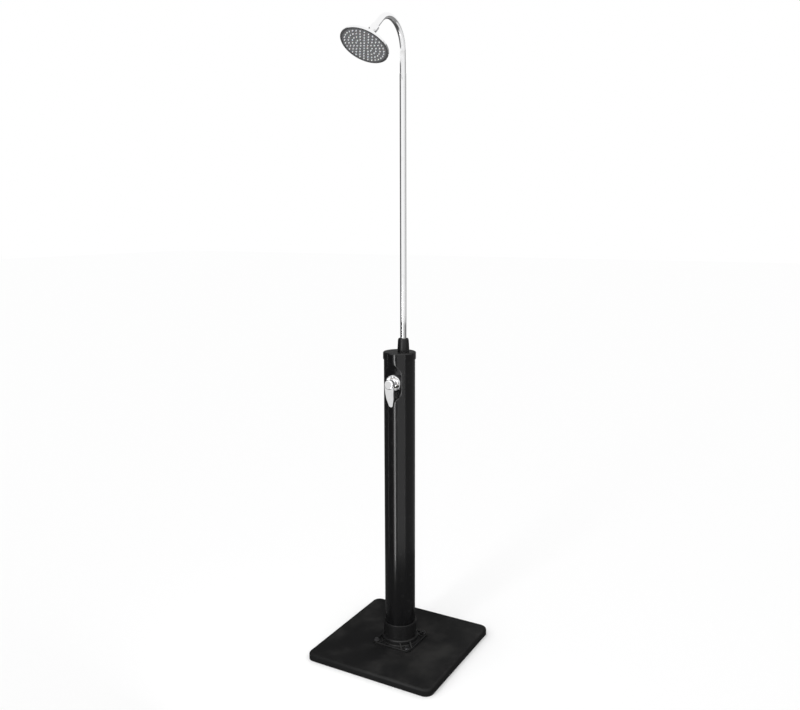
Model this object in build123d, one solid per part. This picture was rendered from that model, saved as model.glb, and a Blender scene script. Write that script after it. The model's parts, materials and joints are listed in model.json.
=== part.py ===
from build123d import *
import math
import os

# A free-standing solar outdoor shower: a square tray, a pipe that is the water tank, a mixer tap,
# a pole and a bent arm with a rain head on a ball joint. Millimetres, +Z up, tap towards -Y.
# The origin is on the floor, under the tank's axis.

# Clearances
fit_gap = 0.2          # between turned pieces that are fixed together
run_gap = 0.08         # radial, between pieces that turn or slide in each other
ball_gap = 0.06        # radial, round the ball of the shower head
seal_gap = 0.1         # round rubber rings and hose ends
bolt_gap = 0.3         # radial, round a screw
over = 1.0             # how far a cut runs past the face that it opens

# Tray
plate_side = 500.0
plate_height = 25.0
plate_corner = 30.0
plate_edge = 9.0       # rounding of the upper edge
plate_top = 4.0        # thickness of the tread
plate_rim = 6.0        # thickness of the side wall
rib_width = 3.0
rib_margin = 31.0      # from the side wall to the outer ribs' middle
rib_count = 7          # each way, odd, so that one rib crosses the middle
boss_radius = 13.0
boss_seat = 14.0       # height of the nut's seat inside a boss

# Fasteners of the foot
bolt_radius = 4.0
bolt_head_flats = 13.0
bolt_head_height = 5.3
bolt_tail = 2.0        # what stands out below the nut
washer_radius = 10.0
washer_thick = 1.6
nut_flats = 13.0
nut_height = 6.5

# Foot flange
flange_side = 154.0
flange_corner = 16.0
flange_thick = 8.0
flange_floor = 4.0     # under the tank
flange_edge = 2.0
collar_radius = 60.0
collar_height = 81.0   # above the tray
collar_lip = 1.5
groove_count = 6
groove_pitch = 6.5
groove_width = 1.4
groove_depth = 0.6
groove_top = 9.0       # from the collar's rim down to the first groove
step_radius = 66.0
step_height = 26.0     # above the tray
step_bevel = 3.0
ring_radius = 72.0
ring_height = 12.0     # above the tray
gusset_offset = 19.0   # either side of a corner's diagonal
gusset_thick = 4.0
gusset_reach = 84.0
gusset_root = 6.0      # how far it runs into the collar
bolt_circle = 90.0     # radius of the circle of screws
pad_radius = 12.0
pad_height = 2.0

# Tank
tank_radius = 55.0
tank_wall = 3.2
tank_length = 1078.0
plug_height = 12.0
plug_wall = 4.0

# Flattened seat of the tap, pressed into the tank's wall
tap_drop = 102.0       # from the tank's top down to the tap's axis
seat_depth = 12.3      # how far the wall is pushed in
seat_half = 70.0       # half of the seat's height, ramps included
seat_flat = 30.0       # half of its flat part
seat_round = 10.0      # rounding of its long edges
seat_steps = 4         # sections in each ramp
seat_start = math.radians(9)    # half angle of the first section's front
seat_corner = math.radians(7)   # angle of its corners

# Cap
cap_wall = 2.6
cap_thick = 4.0
cap_skirt = 25.0
cap_round = 4.5
cap_spigot = 18.0
cap_spigot_wall = 3.5
cap_seal_width = 2.6
cap_seal_depth = 2.2
cap_seal_drop = 8.0    # from the cap's underside to the seal

# Pole
riser_offset = 28.0    # from the tank's axis, away from the tap
riser_radius = 11.0
riser_wall = 0.92
riser_length = 952.0
riser_bevel = 0.4

# Socket and gland of the pole
socket_neck = 14.7
socket_rise = 25.0     # neck above the cap
socket_flange = 18.0
socket_flange_thick = 4.0
socket_gasket_thick = 2.0
socket_body = 13.5
socket_depth = 13.0    # from the cap's underside to the pole's end
socket_floor = 4.0
gland_height = 43.0
gland_top = 18.0
gland_base = 20.2
gland_ribs = 16
gland_rib_width = 3.2
gland_rib_height = 0.9
gland_rib_depth = 2.0  # root included
gland_rib_stop = 5.0   # from the ribs' ends up to the nut's top
gland_rim = 3.0        # height of the plain rim below the ribs
gland_edge = 2.0       # height of the bevel at the top
gland_bevel = 1.5      # its width
gland_mouth = 0.4      # radial, round the pole
gland_seal_height = 7.0
collet_height = 7.0
collet_taper = 1.8
collet_slit = 2.0

# Bent arm
arm_radius = 10.0
arm_wall = 1.0
arm_insert = 30.0      # length inside the pole
arm_rise = 75.0        # straight length above the pole
arm_bend = 88.0        # radius of the bend's centre line
arm_turn = 130.0       # degrees
arm_run = 60.0         # straight length after the bend
spigot_length = 26.0
spigot_tail = 14.0
spigot_bore = 6.0
spigot_ring = 0.95     # radius of an O-ring's section
spigot_ring_count = 2
spigot_ring_pitch = 10.0
stop_length = 30.0
stop_bore = 7.0

# Ball joint
union_radius = 13.5
union_cover = 16.0     # length over the arm
union_floor = 4.0
union_washer = 2.0
ball_radius = 12.0
ball_reach = 30.0      # from the arm's end to the ball's centre
ball_neck = 6.0
ball_bore = 4.0
ball_cone = 6.0        # length of the cone behind the union nut
head_lean = 31.7       # degrees of the spray from straight down
head_yaw = 13.5        # degrees of the spray from the front, towards -X
collar_outer = 17.0
collar_hold = 5.6      # how far the collar reaches up the ball
collar_drop = 11.0     # how far it reaches down the head's neck
collar_cap = 3.0       # its thickness above the ball's rim
collar_edge = 2.0
collar_step = 1.0      # from the ball's centre down to the bore for the neck
cup_wall = 2.4         # under the ball
cup_side = 0.6         # beside the ball
cup_rim = 2.0          # from the ball's centre down to the cup's rim

# Shower head, heights counted down from the ball's centre
head_radius = 80.0
head_depth = 44.0
head_rim = 8.5
head_wall = 2.0
head_round = 2.5       # rounding of the shoulder
head_bevel = 0.8       # at the face
dome_swell = 44.0      # radius at which the dome's height is set
dome_swell_drop = 5.0  # from the neck's foot down to there
dome_ends = [(-1, 0.18), (-1, 0.5)]     # the dome's directions at the shoulder and at the neck
hollow_ends = [(-1, 0.25), (-1, 0.4)]   # the same inside
hollow_step = 3.0
hollow_lip = 0.5
neck_radius = 14.8
neck_foot = 21.0
head_port = 5.0
face_inset = 0.8
face_thick = 3.0
face_groove = 0.8      # depth of the ring round the nozzles
face_groove_width = 2.0
mat_thick = 1.5
mat_margin = 4.0
mat_play = 1.0         # between the mat and the seal round it
nozzle_rings = 5
nozzle_pitch = 13.0
nozzle_radius = 2.2
nozzle_tip = 1.4
nozzle_out = 2.6
nozzle_sides = 8
face_seal_width = 2.6

# Tap, distances counted out from the tank's axis along the tap's axis
tap_body = 18.0
tap_body_back = 10.0
tap_body_front = 46.0
tap_bore = 15.0
tap_bore_floor = 27.0
tap_flange = 23.0
tap_flange_thick = 3.0
tap_gasket_thick = 2.0
locknut_radius = 24.0
locknut_thick = 2.7
ring_outer = 29.2
ring_front = 49.5
ring_lip = 2.4
ring_edge = 2.0
ring_dish = 46.9
ring_skin = 1.1
ring_step = 1.0        # from the ring's front down to its dish's edge
ring_draft = 0.4
port_radius = 3.2
port_offset = 8.0
port_level = 18.0
port_back = 4.0        # how far a port runs behind its tail's bore
tail_radius = 5.0
tail_bore = 3.0        # radius
tail_length = 18.0
tail_lead = 2.0        # length of the tail's bevel
tail_bevel = 0.8
tail_root = 2.0        # how far a tail runs into its body
tail_play = 1.0        # from the tail's root to its hose

# Cartridge
housing_front = 41.0
housing_wall = 1.7
housing_floor = 2.0
disc_radius = 12.9
disc_thick = 3.5
slider_radius = 7.0
slider_thick = 8.0
slider_gap = 0.05
slider_socket = 5.0
yoke_radius = 10.8
yoke_flange = 12.9
yoke_flange_thick = 1.6
yoke_front = 58.0
yoke_slot = 18.6
yoke_play = 0.2        # along the tap's axis

# Lever
pivot_out = 55.0
pin_radius = 1.5
pin_gap = 0.05
stem_side = 6.5
stem_ball = 3.0
stem_neck = 2.1        # radius between the square and the ball
stem_reach = 16.0      # from the pin to the ball's centre
stem_end = 74.0
dome_radius = 15.2
dome_front = 62.0
dome_bore = 11.0
dome_flange = 17.6
dome_flange_thick = 1.0
hub_radius = 18.0
hub_front = 80.0
hub_round = 5.0
hub_clear = 0.4        # between hub and dome
blade_length = 82.0
blade_thick = 6.5
blade_tip_thick = 5.0
blade_slope = 13.0     # how much nearer to the tank the tip is
blade_waist = 14.0     # half width, two thirds down
blade_waist_at = 52.0
blade_tip = 8.0        # radius of the tip
blade_crease_at = 32.8 # where the front face bends back
blade_crease = 2.0     # how far the front has gone back there
blade_heel = 1.0       # extra thickness under the hub
grub_radius = 2.5
grub_length = 6.0
grub_margin = 0.8      # from the stem's end to the screw's side
index_radius = 3.4
index_thick = 1.5
index_sunk = 0.3

# Hose inlet, low on the back
inlet_height = 150.0
shank_radius = 10.4
shank_back = 26.0
saddle_radius = 18.0
saddle_front = 59.0
saddle_wrap = 8.0      # how far it wraps round the tank
inlet_hex = 30.0
inlet_hex_thick = 6.0
inlet_tail = 8.0
inlet_tail_length = 28.0
inlet_root = 2.0       # how much thicker the tail's root is
inlet_root_length = 4.0
inlet_root_cone = 2.0
inlet_lead = 1.5       # bevel at the tail's end
inlet_groove = 6.6
inlet_groove_at = 10.0
inlet_groove_width = 4.0
inlet_bore = 5.5
gasket_radius = 16.0
gasket_back = 46.0
locknut_depth = 6.0
tee_radius = 13.2
tee_back = 9.0
tee_front = 36.0
tee_level = 17.0
tee_branch = 7.0
tee_arm = 15.0         # from the tee's axis to each tail's root

# Hoses
hose_wall = 2.0
hose_bend = 24.0
pickup_top = 1084.0
ferrule_wall = 0.8
ferrule_length = 8.0
ferrule_from = 4.0     # from a tail's root to its ferrule
cold_bend = 120.0
cold_upper = 700.0     # heights where the cold hose crosses the tank
cold_lower = 400.0

# Places worked out from the sizes above
plate_z = plate_height
tank_z = plate_z + flange_floor
tank_top = tank_z + tank_length
tap_height = tank_top - tap_drop
tank_bore = tank_radius - tank_wall
cap_under = tank_top
cap_top = cap_under + cap_thick
riser_foot = cap_under - socket_depth
riser_top = riser_foot + riser_length
riser_bore = riser_radius - riser_wall
arm_foot = riser_top - arm_insert
arm_knee = riser_top + arm_rise
arm_bore = arm_radius - arm_wall
seat_out = tank_radius - seat_depth
bolt_places = [(sx * bolt_circle / math.sqrt(2), sy * bolt_circle / math.sqrt(2))
               for sx in (1, -1) for sy in (1, -1)]
tail_gap_radius = tail_radius + seal_gap
hose_radius = tail_gap_radius + hose_wall
port_reach = math.sqrt(tap_body ** 2 - port_offset ** 2)

turn = math.radians(arm_turn)
arm_end = Vector(0, riser_offset - arm_bend * (1 - math.cos(turn)) - arm_run * math.sin(turn),
                 arm_knee + arm_bend * math.sin(turn) + arm_run * math.cos(turn))
arm_way = Vector(0, -math.sin(turn), math.cos(turn))
ball_centre = arm_end + arm_way * ball_reach
lean = math.radians(head_lean)
yaw = math.radians(head_yaw)
spray = Vector(-math.sin(lean) * math.sin(yaw), -math.sin(lean) * math.cos(yaw), -math.cos(lean))

# Boxes and bars stand on the middle of their base
ON_BASE = (Align.CENTER, Align.CENTER, Align.MIN)

# Working planes: the normal of each is the axis of what is turned on it
riser_plane = Plane(origin=(0, riser_offset, 0), x_dir=(1, 0, 0), z_dir=(0, 0, 1))
arm_plane = Plane(origin=arm_end, x_dir=(1, 0, 0), z_dir=arm_way)
head_plane = Plane(origin=ball_centre, x_dir=(1, 0, 0), z_dir=spray * -1)
tap_plane = Plane(origin=(0, 0, tap_height), x_dir=(1, 0, 0), z_dir=(0, -1, 0))
inlet_plane = Plane(origin=(0, 0, inlet_height), x_dir=(-1, 0, 0), z_dir=(0, 1, 0))


def turned(points, plane=Plane.XY):
    """A solid of revolution from an outline of (radius, height) points."""
    outline = make_face(Polyline(*points, close=True))
    return Location(plane) * revolve(Plane.XZ * outline, Axis.Z)


def rod(radius, start, end, plane=Plane.XY, at=(0, 0)):
    """A cylinder along the plane's normal, from one height to another."""
    bar = Cylinder(radius, end - start, align=ON_BASE)
    return Location(plane) * (Pos(at[0], at[1], start) * bar)


def ring(inner, outer, start, end, plane=Plane.XY):
    """A plain ring along the plane's normal."""
    return turned([(inner, start), (outer, start), (outer, end), (inner, end)], plane)


def prism(flats, start, end, plane=Plane.XY, at=(0, 0)):
    """A hexagonal bar along the plane's normal."""
    sketch = RegularPolygon(flats / 2, 6, major_radius=False)
    return Location(plane) * (Pos(at[0], at[1], start) * extrude(sketch, end - start))


def pipe(path, inner, outer):
    """A hollow tube along a path."""
    start = Plane(origin=path @ 0, z_dir=path % 0)
    return sweep(start * (Circle(outer) - Circle(inner)), path=path)


# Tray and foot
def base_plate():
    """Square moulded tray, open below, with ribs and a boss round each nut."""
    body = extrude(RectangleRounded(plate_side, plate_side, plate_corner), plate_height)
    body = fillet(body.faces().sort_by(Axis.Z)[-1].edges(), plate_edge)
    inside = plate_side - 2 * plate_rim
    rib_pitch = (inside - 2 * rib_margin) / (rib_count - 1)
    pocket = extrude(RectangleRounded(inside, inside, plate_corner - plate_rim), plate_height - plate_top)
    body -= pocket
    rib_height = plate_height - plate_top
    for k in range(rib_count):
        place = (k - (rib_count - 1) / 2) * rib_pitch
        body += Pos(place, 0, 0) * Box(rib_width, inside, rib_height, align=ON_BASE)
        body += Pos(0, place, 0) * Box(inside, rib_width, rib_height, align=ON_BASE)
    for place in bolt_places:
        body += rod(boss_radius, 0, plate_height - plate_top, at=place)
    for place in bolt_places:
        body -= prism(nut_flats + 2 * bolt_gap, 0, boss_seat, at=place)
        body -= rod(bolt_radius + bolt_gap, 0, plate_height, at=place)
    return body


def gusset(angle, side):
    """One of the two triangular ribs beside a corner of the foot."""
    inner = collar_radius - gusset_root
    foot = plate_z + flange_thick
    shape = Polyline((inner, foot), (gusset_reach, foot), (inner, plate_z + step_height), close=True)
    wedge = extrude(Plane.XZ * make_face(shape), gusset_thick / 2, both=True)
    return Rot(0, 0, angle) * (Pos(0, side * gusset_offset, 0) * wedge)


def base_flange():
    """Square foot with a stepped round collar that holds the tank."""
    foot = extrude(RectangleRounded(flange_side, flange_side, flange_corner), flange_thick)
    foot = fillet(foot.faces().sort_by(Axis.Z)[-1].edges(), flange_edge)
    body = Pos(0, 0, plate_z) * foot
    rim = plate_z + collar_height
    ledge = plate_z + ring_height
    step = plate_z + step_height
    lip = collar_radius - collar_lip
    body += turned([(0, plate_z), (ring_radius, plate_z), (ring_radius, ledge - flange_edge),
                    (ring_radius - flange_edge, ledge), (step_radius, ledge),
                    (step_radius, step - step_bevel), (step_radius - step_bevel, step),
                    (collar_radius, step), (collar_radius, rim - collar_lip), (lip, rim), (0, rim)])
    for angle in (45, 135, 225, 315):
        for side in (1, -1):
            body += gusset(angle, side)
    for place in bolt_places:
        body += rod(pad_radius, plate_z, plate_z + flange_thick + pad_height, at=place)
    body -= rod(tank_radius + fit_gap, tank_z, rim)
    for k in range(groove_count):
        top = rim - groove_top - k * groove_pitch
        body -= ring(collar_radius - groove_depth, collar_radius + over, top - groove_width, top)
    for place in bolt_places:
        body -= rod(bolt_radius + bolt_gap, plate_z, rim, at=place)
    return body


def flange_bolts():
    """Four hexagon screws through the foot and the tray."""
    head = plate_z + flange_thick + pad_height + washer_thick
    screws = []
    for place in bolt_places:
        screw = prism(bolt_head_flats, head, head + bolt_head_height, at=place)
        screw += rod(bolt_radius, boss_seat - nut_height - bolt_tail, head, at=place)
        screws.append(screw)
    return Compound(children=screws)


def flange_washers():
    """A washer under each screw head."""
    seat = plate_z + flange_thick + pad_height
    hole = bolt_radius + bolt_gap
    return Compound(children=[Pos(*place, 0) * ring(hole, washer_radius, seat, seat + washer_thick)
                              for place in bolt_places])


def flange_nuts():
    """A nut on each screw, in the boss's pocket."""
    nuts = []
    for place in bolt_places:
        nut = prism(nut_flats, boss_seat - nut_height, boss_seat, at=place)
        nuts.append(nut - rod(bolt_radius + run_gap, boss_seat - nut_height, boss_seat, at=place))
    return Compound(children=nuts)


# Tank
def mirrored(point):
    """The same point on the other side of the middle."""
    return (-point[0], point[1])


def on_pipe(radius, angle):
    """A point of the round pipe, by its angle from the front."""
    return (radius * math.sin(angle), -radius * math.cos(angle))


def seat_section(radius, depth, corner, level):
    """The tank's outline at one height: a circle whose front is pushed in, with rounded corners."""
    if depth > 0:
        flat = depth - radius
        centre_y = flat + corner
        centre_x = math.sqrt((radius - corner) ** 2 - centre_y ** 2)
        share = radius / (radius - corner)
        middle = (math.atan2(centre_y, centre_x) - math.pi / 2) / 2
        front = (centre_x, flat)
        side = (centre_x * share, centre_y * share)
        bulge = (centre_x + corner * math.cos(middle), centre_y + corner * math.sin(middle))
        face = Line(mirrored(front), front)
    else:
        front = on_pipe(radius, seat_start)
        side = on_pipe(radius, seat_start + seat_corner)
        bulge = on_pipe(radius, seat_start + seat_corner / 2)
        face = ThreePointArc(mirrored(front), on_pipe(radius, 0), front)
    edges = [face, ThreePointArc(front, bulge, side), ThreePointArc(side, (0, radius), mirrored(side)),
             ThreePointArc(mirrored(side), mirrored(bulge), mirrored(front))]
    return Pos(0, 0, level) * Face(Wire(edges))


def seat_ramp(radius, corner, way):
    """One end of the seat, from the round pipe to the flat; way is -1 below the tap and 1 above it."""
    sections = []
    for k in range(seat_steps + 1):
        share = k / seat_steps
        ease = share * share * (3 - 2 * share)
        level = tap_height + way * (seat_half - share * (seat_half - seat_flat))
        sections.append(seat_section(radius, seat_depth * ease, corner, level))
    return loft(sections)


def tank_skin(radius, corner, bottom, top):
    """A full-length solid with the flattened seat."""
    skin = rod(radius, bottom, tap_height - seat_half)
    skin += seat_ramp(radius, corner, -1)
    skin += extrude(seat_section(radius, seat_depth, corner, tap_height - seat_flat), 2 * seat_flat)
    skin += seat_ramp(radius, corner, 1)
    return skin + rod(radius, tap_height + seat_half, top)


def tank_tube():
    """Thick plastic pipe, pressed flat where the tap sits, with holes for the tap and the inlet."""
    body = tank_skin(tank_radius, seat_round, tank_z, tank_top)
    body -= tank_skin(tank_bore, seat_round - tank_wall, tank_z, tank_top)
    body -= rod(tap_body + fit_gap, 0, tank_radius, tap_plane)
    body -= rod(shank_radius + fit_gap, 0, tank_radius + over, inlet_plane)
    return body


def bottom_plug():
    """Cup glued into the pipe's foot."""
    outer = tank_bore - fit_gap
    cup = ring(0, outer, tank_z, tank_z + plug_height)
    return cup - rod(outer - plug_wall, tank_z + plug_wall, tank_z + plug_height)


def top_cap():
    """Cap that covers the pipe's top and carries the pole."""
    outer = tank_radius + fit_gap + cap_wall
    body = rod(outer, cap_top - cap_skirt, cap_top)
    body = fillet(body.edges().sort_by(Axis.Z)[-1], cap_round)
    body -= rod(tank_radius + fit_gap, cap_top - cap_skirt, cap_under)
    spigot = tank_bore - fit_gap
    body += ring(spigot - cap_spigot_wall, spigot, cap_under - cap_spigot, cap_under)
    seal_top = cap_under - cap_seal_drop
    body -= ring(spigot - cap_seal_depth, spigot + fit_gap / 2, seal_top - cap_seal_width, seal_top)
    return body - rod(socket_neck + fit_gap, cap_under, cap_top, riser_plane)


def cap_seal():
    """Rubber ring in the cap's groove."""
    spigot = tank_bore - fit_gap
    seal_top = cap_under - cap_seal_drop - seal_gap
    inner = spigot - cap_seal_depth + seal_gap
    return ring(inner, spigot, seal_top - cap_seal_width + 2 * seal_gap, seal_top)


# Pole, its socket and its gland
def riser_socket():
    """Socket that passes through the cap, holds the pole and ends in a hose tail."""
    bottom = riser_foot - socket_floor
    seat = cap_under - socket_gasket_thick
    neck = cap_top + socket_rise
    bore = riser_radius + run_gap
    body = turned([(0, bottom), (socket_body, bottom), (socket_body, seat - socket_flange_thick),
                   (socket_flange, seat - socket_flange_thick), (socket_flange, seat), (socket_neck, seat),
                   (socket_neck, neck), (bore, neck), (bore, riser_foot), (0, riser_foot)], riser_plane)
    body += hose_tail(bottom - tail_length, bottom, riser_plane)
    return body - rod(tail_bore, bottom - tail_length, riser_foot, riser_plane)


def hose_tail(start, end, plane, at=(0, 0)):
    """Spigot that a hose is pushed over, not yet bored, from its tip to its root."""
    tail = turned([(0, start), (tail_radius - tail_bevel, start), (tail_radius, start + tail_lead),
                   (tail_radius, end), (0, end)])
    return Location(plane) * (Pos(at[0], at[1], 0) * tail)


def socket_gasket():
    """Flat ring between the socket's flange and the cap."""
    inner = socket_neck + fit_gap
    return ring(inner, socket_flange, cap_under - socket_gasket_thick, cap_under, riser_plane)


def gland_nut():
    """Ribbed conical nut that clamps the pole."""
    top = cap_top + gland_height
    rim = cap_top + gland_rim
    seal_top = cap_top + socket_rise + gland_seal_height
    collet_top = seal_top + collet_height
    bore = socket_neck + fit_gap
    mouth = riser_radius + gland_mouth
    body = turned([(bore, cap_top), (gland_base, cap_top), (gland_base, rim), (gland_top, top - gland_edge),
                   (gland_top - gland_bevel, top), (mouth, top), (mouth, collet_top + over),
                   (bore - collet_taper, collet_top + fit_gap), (bore, seal_top)], riser_plane)
    slope = math.degrees(math.atan2(gland_base - gland_top, gland_height - gland_rim - gland_edge))
    length = gland_height - gland_rim - gland_rib_stop
    rib = Box(gland_rib_depth, gland_rib_width, length, align=(Align.MAX, Align.CENTER, Align.MIN))
    place = Pos(gland_base + gland_rib_height, 0, rim) * Rot(0, -slope, 0)
    for k in range(gland_ribs):
        body += Location(riser_plane) * (Rot(0, 0, k * 360 / gland_ribs) * (place * rib))
    return body


def gland_seal():
    """Rubber ring that seals the pole on the socket's neck."""
    start = cap_top + socket_rise
    end = start + gland_seal_height - seal_gap
    return ring(riser_radius + seal_gap, socket_neck, start, end, riser_plane)


def gland_collet():
    """Split tapered ring that grips the pole."""
    start = cap_top + socket_rise + gland_seal_height
    body = turned([(riser_radius + run_gap, start), (socket_neck - seal_gap, start),
                   (socket_neck - collet_taper, start + collet_height),
                   (riser_radius + run_gap, start + collet_height)], riser_plane)
    slit = Box(collet_slit, socket_neck, collet_height + over)
    place = Pos(0, -socket_neck / 2, start + collet_height / 2)
    return body - Location(riser_plane) * (place * slit)


def lower_riser():
    """Straight pole."""
    return turned([(riser_bore, riser_foot), (riser_radius, riser_foot),
                   (riser_radius, riser_top - riser_bevel), (riser_radius - riser_bevel, riser_top),
                   (riser_bore, riser_top)], riser_plane)


def stop_sleeve():
    """Sleeve pressed into the pole, on which the arm stands."""
    top = arm_foot - spigot_length
    return ring(stop_bore, riser_bore - run_gap, top - stop_length, top, riser_plane)


def arm_spigot():
    """Turned end of the arm with two grooves for O-rings."""
    outer = riser_bore - run_gap
    start = arm_foot - spigot_length
    body = ring(spigot_bore, outer, start, arm_foot, riser_plane)
    body += ring(spigot_bore, arm_bore - seal_gap, arm_foot, arm_foot + spigot_tail, riser_plane)
    for level in ring_levels():
        half = spigot_ring + seal_gap
        floor = outer - 2 * spigot_ring - seal_gap
        body -= ring(floor, outer + over, level - half, level + half, riser_plane)
    return body


def ring_levels():
    """Heights of the O-rings on the spigot."""
    first = arm_foot - spigot_length / 2 - (spigot_ring_count - 1) / 2 * spigot_ring_pitch
    return [first + k * spigot_ring_pitch for k in range(spigot_ring_count)]


def spigot_rings():
    """O-rings between the spigot and the pole."""
    centre = riser_bore - run_gap - spigot_ring
    seal = Torus(centre, spigot_ring)
    return Compound(children=[Location(riser_plane) * (Pos(0, 0, level) * seal) for level in ring_levels()])


def on_bend(angle):
    """A point on the centre line of the arm's bend."""
    return (0, riser_offset - arm_bend * (1 - math.cos(angle)), arm_knee + arm_bend * math.sin(angle))


def shower_arm():
    """Bent tube: up, over through the bend and down to the head."""
    path = Curve() + [Line((0, riser_offset, arm_foot), on_bend(0)),
                      ThreePointArc(on_bend(0), on_bend(turn / 2), on_bend(turn)),
                      Line(on_bend(turn), arm_end)]
    return pipe(Wire(path.edges()), arm_bore, arm_radius)


# Ball joint and head
def inlet_washer():
    """Rubber washer between the arm's end and the union."""
    return ring(ball_bore, arm_radius - seal_gap, 0, union_washer, arm_plane)


def ball_stem():
    """Union nut, neck and ball in one turned piece."""
    floor = union_washer + union_floor
    bore = arm_radius + fit_gap
    body = turned([(ball_bore, union_washer), (bore, union_washer), (bore, -union_cover),
                   (union_radius, -union_cover), (union_radius, floor), (ball_neck, floor + ball_cone),
                   (ball_neck, ball_reach), (ball_bore, ball_reach)], arm_plane)
    body += Location(arm_plane) * (Pos(0, 0, ball_reach) * Sphere(ball_radius))
    return body - rod(ball_bore, union_washer, ball_reach + ball_radius, arm_plane)


def ball_collar():
    """Ring that screws on the head's neck and holds the ball."""
    inner = neck_radius + fit_gap
    top = collar_hold + collar_cap
    body = turned([(0, -collar_drop), (collar_outer, -collar_drop), (collar_outer, top - collar_edge),
                   (collar_outer - collar_edge, top), (0, top)], head_plane)
    body -= rod(inner, -collar_drop, -collar_step, head_plane)
    body -= Location(head_plane) * Sphere(ball_radius + ball_gap)
    rim = math.sqrt(ball_radius ** 2 - collar_hold ** 2)
    flare = turned([(0, -collar_step), (rim, -collar_step), (rim, collar_hold), (rim + collar_cap, top),
                    (0, top)], head_plane)
    return body - flare


def ball_cup():
    """Plastic seat under the ball."""
    outer = ball_radius + cup_side
    body = ring(0, outer, -ball_radius - cup_wall, -cup_rim, head_plane)
    body -= Location(head_plane) * Sphere(ball_radius + ball_gap)
    return body - rod(head_port, -ball_radius - cup_wall, 0, head_plane)


def head_shell():
    """Chromed back of the head with its neck."""
    low = -head_depth
    shoulder = low + head_rim
    neck_top = -collar_step - fit_gap
    edge = head_radius - head_round
    dome = Spline((edge, shoulder), (dome_swell, -neck_foot - dome_swell_drop), (neck_radius, -neck_foot),
                  tangents=dome_ends)
    outline = [Line((0, low), (head_radius - head_bevel, low)),
               Line((head_radius - head_bevel, low), (head_radius, low + head_bevel)),
               Line((head_radius, low + head_bevel), (head_radius, shoulder - head_round)),
               RadiusArc((head_radius, shoulder - head_round), (edge, shoulder), -head_round), dome,
               Line((neck_radius, -neck_foot), (neck_radius, neck_top)),
               Line((neck_radius, neck_top), (0, neck_top)), Line((0, neck_top), (0, low))]
    body = revolve(Plane.XZ * make_face(Curve() + outline), Axis.Z)
    hollow = head_radius - head_wall
    shelf = low + face_inset + face_thick + face_seal_width
    roof = -neck_foot - head_wall
    inner = hollow - hollow_step
    body -= rod(hollow, low, shelf)
    inner_dome = Spline((inner, shelf), (dome_swell, roof - dome_swell_drop), (neck_radius, roof),
                        tangents=hollow_ends)
    cavity = [Line((0, shelf - hollow_lip), (inner, shelf - hollow_lip)),
              Line((inner, shelf - hollow_lip), (inner, shelf)), inner_dome,
              Line((neck_radius, roof), (0, roof)), Line((0, roof), (0, shelf - hollow_lip))]
    body -= revolve(Plane.XZ * make_face(Curve() + cavity), Axis.Z)
    body -= rod(ball_radius + cup_side + seal_gap, -ball_radius - cup_wall, 0)
    body -= rod(head_port, roof - over, 0)
    return Location(head_plane) * body


def nozzle_places():
    """Centres of the nozzles: one in the middle and rings of six more each time."""
    places = [(0, 0)]
    for k in range(1, nozzle_rings + 1):
        for j in range(6 * k):
            angle = 2 * math.pi * j / (6 * k)
            places.append((k * nozzle_pitch * math.cos(angle), k * nozzle_pitch * math.sin(angle)))
    return places


def face_plate():
    """Grey face with a hole for every nozzle."""
    low = -head_depth + face_inset
    outer = head_radius - head_wall - fit_gap
    body = rod(outer, low, low + face_thick)
    groove = outer - face_groove_width
    body -= ring(groove - face_groove_width, groove, low, low + face_groove)
    hole = extrude(RegularPolygon(nozzle_radius + seal_gap, nozzle_sides), face_thick)
    body -= [Pos(x, y, low) * hole for x, y in nozzle_places()]
    return Location(head_plane) * body


def nozzle_mat():
    """Silicone mat whose nozzles stand through the face."""
    low = -head_depth + face_inset + face_thick
    body = rod(face_seal_inner() - mat_play, low, low + mat_thick)
    outline = RegularPolygon(nozzle_radius, nozzle_sides)
    stalk = extrude(outline, -face_thick)
    slope = math.degrees(math.atan2(nozzle_radius - nozzle_tip, nozzle_out))
    nozzle = stalk + Pos(0, 0, -face_thick) * extrude(outline, -nozzle_out, taper=slope)
    body += [Pos(x, y, low) * nozzle for x, y in nozzle_places()]
    return Location(head_plane) * body


def face_seal_inner():
    """Inner radius of the ring behind the face's edge."""
    return head_radius - head_wall - mat_margin


def face_seal():
    """Rubber ring between the face and the shell."""
    low = -head_depth + face_inset + face_thick
    outer = head_radius - head_wall - fit_gap
    return ring(face_seal_inner(), outer, low, low + face_seal_width - seal_gap, head_plane)


# Tap body and rings
def mixer_body():
    """Brass body inside the tank, with three hose tails and the cartridge's chamber."""
    seat = seat_out - tank_wall - tap_gasket_thick
    body = rod(tap_body, tap_body_back, tap_body_front, tap_plane)
    body += rod(tap_flange, seat - tap_flange_thick, seat, tap_plane)
    cold = Plane(origin=(-port_offset, -port_level, tap_height), z_dir=(0, 0, 1))
    hot = Plane(origin=(port_offset, -port_level, tap_height), z_dir=(0, 0, -1))
    back = tap_body_back - tail_length
    body += hose_tail(-port_reach - tail_length, -port_reach + tail_root, cold)
    body += hose_tail(-port_reach - tail_length, -port_reach + tail_root, hot)
    body += hose_tail(back, tap_body_back + tail_root, tap_plane)
    body -= rod(tap_bore, tap_bore_floor, tap_body_front, tap_plane)
    for plane, side in ((cold, -1), (hot, 1)):
        body -= rod(tail_bore, -port_reach - tail_length, 0, plane)
        port = (side * port_offset, 0)
        body -= rod(port_radius, port_level - port_back, tap_bore_floor, tap_plane, at=port)
    return body - rod(tail_bore, back, tap_bore_floor, tap_plane)


def tap_gasket():
    """Rubber ring behind the flattened wall."""
    seat = seat_out - tank_wall
    return ring(tap_body + seal_gap, tap_flange, seat - tap_gasket_thick, seat, tap_plane)


def tap_locknut():
    """Thin nut that pulls the body against the flattened wall."""
    return ring(tap_body + run_gap, locknut_radius, seat_out, seat_out + locknut_thick, tap_plane)


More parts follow.
